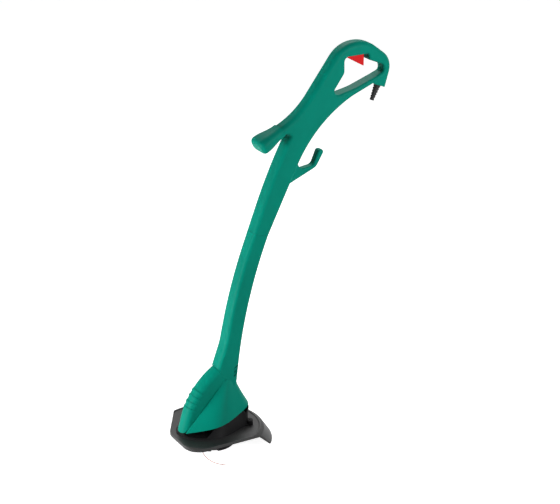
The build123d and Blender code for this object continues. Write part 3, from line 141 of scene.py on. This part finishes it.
class Shader:
    """A material's node tree, with short calls to add and join its nodes."""

    def __init__(self, name):
        self.material = bpy.data.materials.new(name)
        self.material.use_nodes = True
        self.tree = self.material.node_tree
        self.tree.nodes.clear()
        self.surface = self.add("ShaderNodeBsdfPrincipled")
        output = self.add("ShaderNodeOutputMaterial")
        self.join(self.surface.outputs["BSDF"], output.inputs["Surface"])
        self.place = self.add("ShaderNodeTexCoord").outputs["Object"]

    def add(self, kind, options=None, **values):
        """A new node with its options and its own socket values set."""
        made = self.tree.nodes.new(kind)
        for option, value in (options or {}).items():
            setattr(made, option, value)
        for socket, value in values.items():
            made.inputs[socket.replace("_", " ")].default_value = value
        return made

    def join(self, source, target):
        """A link from one socket to another."""
        self.tree.links.new(source, target)

    def finish(self, **values):
        """Sets the surface's own constants, and gives the material."""
        for socket, value in values.items():
            self.surface.inputs[socket.replace("_", " ")].default_value = value
        return self.material

    def stretched(self, stretch):
        """The object's coordinates, drawn out by a share along each axis."""
        mapping = self.add("ShaderNodeMapping", Scale=stretch)
        self.join(self.place, mapping.inputs["Vector"])
        return mapping.outputs["Vector"]

    def noise(self, size, detail=2.0, place=None):
        """Cloudy noise whose patches are about a size in metres across."""
        made = self.add("ShaderNodeTexNoise", Scale=1 / size, Detail=detail)
        self.join(place or self.place, made.inputs["Vector"])
        return made.outputs["Fac"]

    def spread(self, source, low, high, start=0.3, end=0.7):
        """A value carried from one range to another, and held at its ends."""
        made = self.add("ShaderNodeMapRange", From_Min=start, From_Max=end, To_Min=low, To_Max=high)
        self.join(source, made.inputs["Value"])
        return made.outputs["Result"]

    def math(self, operation, first, second):
        """Two values, or a value and a number, put together."""
        made = self.add("ShaderNodeMath", {"operation": operation})
        self.join(first, made.inputs[0])
        if isinstance(second, float):
            made.inputs[1].default_value = second
        else:
            self.join(second, made.inputs[1])
        return made.outputs["Value"]

    def mix(self, share, first, second):
        """A colour between two colours, each a constant or another node's."""
        made = self.add("ShaderNodeMix", {"data_type": "RGBA"})
        self.join(share, made.inputs["Factor"])
        for number, colour in zip(mix_colours, (first, second)):
            if isinstance(colour, tuple):
                made.inputs[number].default_value = colour
            else:
                self.join(colour, made.inputs[number])
        return made.outputs[mixed_colour]

    def rounded(self, radius):
        """The normal with sharp edges softened over a radius."""
        return self.add("ShaderNodeBevel", {"samples": 6}, Radius=radius).outputs["Normal"]

    def edges(self, normal):
        """One along edges and corners, and nought on open faces."""
        geometry = self.add("ShaderNodeNewGeometry").outputs["Normal"]
        made = self.add("ShaderNodeVectorMath", {"operation": "DOT_PRODUCT"})
        self.join(normal, made.inputs[0])
        self.join(geometry, made.inputs[1])
        return self.spread(made.outputs["Value"], low=1.0, high=0.0, start=0.75, end=0.99)

    def bump(self, height, depth, normal):
        """A normal roughened by a height in metres."""
        made = self.add("ShaderNodeBump", Strength=1.0, Distance=depth)
        self.join(height, made.inputs["Height"])
        self.join(normal, made.inputs["Normal"])
        return made.outputs["Normal"]


def moulded(name, colour, worn, rough, grain=0.0007, relief=0.00003, shine=0.4):
    """Moulded plastic or rubber: spark-eroded grain, uneven gloss, faint scuffs and paler worn edges."""
    shader = Shader(name)
    normal = shader.rounded(plastic_edge)
    cloud = shader.noise(size=0.09, detail=3.0)
    scuff = shader.noise(size=0.004, detail=6.0, place=shader.stretched(scuff_stretch))
    grain_height = shader.noise(size=grain, detail=1.0)
    darker, lighter = times(colour, share=0.93), times(colour, share=1.06)
    tone = shader.mix(shader.spread(cloud, low=0.0, high=1.0), darker, lighter)
    rubbing = shader.spread(scuff, low=0.1 * plastic_wear, high=plastic_wear, start=0.35, end=0.6)
    rub = shader.math("MULTIPLY", shader.edges(normal), rubbing)
    shader.join(shader.mix(rub, tone, worn), shader.surface.inputs["Base Color"])
    gloss = shader.spread(cloud, low=rough - 0.05, high=rough + 0.05)
    marks = shader.spread(scuff, low=0.0, high=0.12, start=0.55, end=0.75)
    shader.join(shader.math("ADD", gloss, marks), shader.surface.inputs["Roughness"])
    shader.join(shader.bump(grain_height, relief, normal), shader.surface.inputs["Normal"])
    return shader.finish(Specular_IOR_Level=shine)


def metal(name, colour, dull, rough):
    """Metal with fine drawn-out machining marks, dulled in patches."""
    shader = Shader(name)
    normal = shader.rounded(metal_edge)
    lines = shader.noise(size=0.0004, detail=3.0, place=shader.stretched(brush_stretch))
    cloud = shader.noise(size=0.006, detail=4.0)
    tone = shader.mix(shader.spread(cloud, low=0.0, high=0.8), colour, dull)
    shader.join(tone, shader.surface.inputs["Base Color"])
    gloss = shader.spread(lines, low=rough - 0.08, high=rough + 0.12)
    shader.join(gloss, shader.surface.inputs["Roughness"])
    shader.join(shader.bump(lines, brush_relief, normal), shader.surface.inputs["Normal"])
    return shader.finish(Metallic=1.0)


def banded(name, colour, groove, pitch, rough, metallic):
    """Stacked sheets or wound wire: fine bands across the axis that goes up."""
    shader = Shader(name)
    normal = shader.rounded(metal_edge)
    bands = shader.add("ShaderNodeTexWave", {"bands_direction": "Z"}, Scale=wave_band / pitch,
                       Distortion=0.3, Detail=1.0)
    shader.join(shader.place, bands.inputs["Vector"])
    cloud = shader.noise(size=0.008, detail=3.0)
    height = bands.outputs["Fac"]
    tone = shader.mix(shader.spread(height, low=0.0, high=1.0, start=0.0, end=0.5), groove, colour)
    dulled = shader.mix(shader.spread(cloud, low=0.0, high=0.4), tone, times(colour, share=0.6))
    shader.join(dulled, shader.surface.inputs["Base Color"])
    gloss = shader.spread(cloud, low=rough - 0.08, high=rough + 0.1)
    shader.join(gloss, shader.surface.inputs["Roughness"])
    shader.join(shader.bump(height, pitch / 4, normal), shader.surface.inputs["Normal"])
    return shader.finish(Metallic=metallic)


def line_material():
    """Monofilament: slightly clear, with a fine drawn streak along it."""
    shader = Shader("nylon_line")
    streak = shader.noise(size=0.003, detail=4.0)
    tone = shader.mix(shader.spread(streak, low=0.0, high=1.0), srgb(150, 70, 58), srgb(178, 104, 86))
    shader.join(tone, shader.surface.inputs["Base Color"])
    shader.join(shader.spread(streak, low=0.25, high=0.42), shader.surface.inputs["Roughness"])
    relief = shader.bump(streak, streak_relief, shader.rounded(line_edge))
    shader.join(relief, shader.surface.inputs["Normal"])
    return shader.finish(Subsurface_Weight=0.15)


def finishes():
    """A material for each slot of the record."""
    green = srgb(0, 130, 111)
    grey = srgb(38, 38, 38)
    black = srgb(14, 14, 15)
    red = srgb(205, 18, 20)
    return {
        "green_plastic": moulded("green_plastic", green, srgb(36, 158, 138), 0.50, shine=0.05),
        "grey_plastic": moulded("grey_plastic", grey, srgb(96, 95, 95), 0.42, relief=0.00005, shine=0.3),
        "black_plastic": moulded("black_plastic", black, srgb(58, 58, 60), 0.48, relief=0.00005, shine=0.08),
        "red_plastic": moulded("red_plastic", red, srgb(232, 70, 64), 0.42, shine=0.15),
        "cream_plastic": moulded("cream_plastic", srgb(214, 204, 172), srgb(236, 230, 208), 0.45),
        "black_rubber": moulded("black_rubber", srgb(24, 24, 25), srgb(58, 58, 60), 0.66, grain=0.0005),
        "steel": metal("steel", srgb(168, 170, 176), srgb(120, 122, 128), 0.32),
        "blade_steel": metal("blade_steel", srgb(196, 198, 202), srgb(140, 142, 146), 0.28),
        "core_iron": banded("core_iron", srgb(124, 124, 128), srgb(56, 54, 54), 0.0008, 0.45, 0.8),
        "copper": banded("copper", srgb(196, 112, 62), srgb(110, 52, 26), 0.0008, 0.35, 0.9),
        "carbon": moulded("carbon", srgb(40, 40, 42), srgb(78, 78, 80), 0.6, grain=0.0003),
        "nylon_line": line_material(),
    }


def dress(materials):
    """Gives each node of the frame the finish of its slot."""
    for part in frame["record"]["subparts"]:
        node = frame["nodes"][part["node"]]
        node.data.materials.clear()
        node.data.materials.append(materials[part["material_slot"]])


def make_line(materials):
    """The free end of the cutting line, on one smooth curve."""
    curve = bpy.data.curves.new("cutting_line_free", "CURVE")
    curve.dimensions = "3D"
    curve.bevel_depth = line_diameter / 2
    curve.bevel_resolution = 5
    curve.resolution_u = 12
    curve.use_fill_caps = True
    spline = curve.splines.new("NURBS")
    spline.points.add(len(line_points) - 1)
    for point, place in zip(spline.points, line_points):
        point.co = (*place, 1.0)
    spline.order_u = 3
    spline.use_endpoint_u = True
    curve.materials.append(materials["nylon_line"])
    line = bpy.data.objects.new("cutting_line_free", curve)
    bpy.context.scene.collection.objects.link(line)
    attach(line, "spindle")
    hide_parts("cutting_line")


def make_spring(name, body, joint, fixed_end, stroke, materials):
    """A steel coil spring, carried by its body."""
    mesh = frame["nodes"][name].data.copy()
    mesh.materials.clear()
    mesh.materials.append(materials["steel"])
    spring = bpy.data.objects.new(name + "_coil", mesh)
    bpy.context.scene.collection.objects.link(spring)
    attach(spring, body)
    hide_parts(name)
    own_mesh(spring)


def make_floor():
    """A plain pale floor, white to the camera, that keeps the object's shadow."""
    mesh = bpy.data.meshes.new("floor")
    corners = [(-floor_half, -floor_half, -floor_drop), (floor_half, -floor_half, -floor_drop),
               (floor_half, floor_half, -floor_drop), (-floor_half, floor_half, -floor_drop)]
    mesh.from_pydata(corners, [], [(0, 1, 2, 3)])
    floor = bpy.data.objects.new("floor", mesh)
    bpy.context.scene.collection.objects.link(floor)
    shader = Shader("floor")
    glow = shader.math("MULTIPLY", open_rays(shader.tree), floor_glow)
    shader.join(glow, shader.surface.inputs["Emission Strength"])
    mesh.materials.append(shader.finish(Base_Color=(*floor_colour, 1.0), Roughness=0.9,
                                        Emission_Color=(1.0, 1.0, 1.0, 1.0)))


def light_world():
    """Soft light that comes from around the object more than from above, on a white ground."""
    world = bpy.data.worlds.new("studio")
    bpy.context.scene.world = world
    world.use_nodes = True
    tree = world.node_tree
    tree.nodes.clear()
    place = tree.nodes.new("ShaderNodeTexCoord")
    parts = tree.nodes.new("ShaderNodeSeparateXYZ")
    fall = tree.nodes.new("ShaderNodeMapRange")
    fall.inputs["From Min"].default_value = 0.0
    fall.inputs["From Max"].default_value = horizon_band
    fall.inputs["To Min"].default_value = horizon_light
    fall.inputs["To Max"].default_value = zenith_light
    dim, bright = mix_numbers
    white = tree.nodes.new("ShaderNodeMix")
    white.inputs[bright].default_value = 1.0
    background = tree.nodes.new("ShaderNodeBackground")
    background.inputs["Color"].default_value = (1.0, 1.0, 1.0, 1.0)
    output = tree.nodes.new("ShaderNodeOutputWorld")
    tree.links.new(place.outputs["Generated"], parts.inputs["Vector"])
    tree.links.new(parts.outputs["Z"], fall.inputs["Value"])
    tree.links.new(open_rays(tree), white.inputs["Factor"])
    tree.links.new(fall.outputs["Result"], white.inputs[dim])
    tree.links.new(white.outputs["Result"], background.inputs["Strength"])
    tree.links.new(background.outputs["Background"], output.inputs["Surface"])


def softbox(name, place, aim, width, height, power):
    """A rectangular studio light that faces a point."""
    data = bpy.data.lights.new(name, "AREA")
    data.shape = "RECTANGLE"
    data.size = width
    data.size_y = height
    data.energy = power
    lamp = bpy.data.objects.new(name, data)
    lamp.location = place
    lamp.rotation_euler = (Vector(aim) - Vector(place)).to_track_quat("-Z", "Y").to_euler()
    bpy.context.scene.collection.objects.link(lamp)


place_camera()
materials = finishes()
dress(materials)
make_line(materials)
for spring in springs:
    make_spring(*spring, materials)
make_floor()
light_world()
for lamp in lamps:
    softbox(*lamp)

bpy.context.scene.view_settings.view_transform = "Standard"
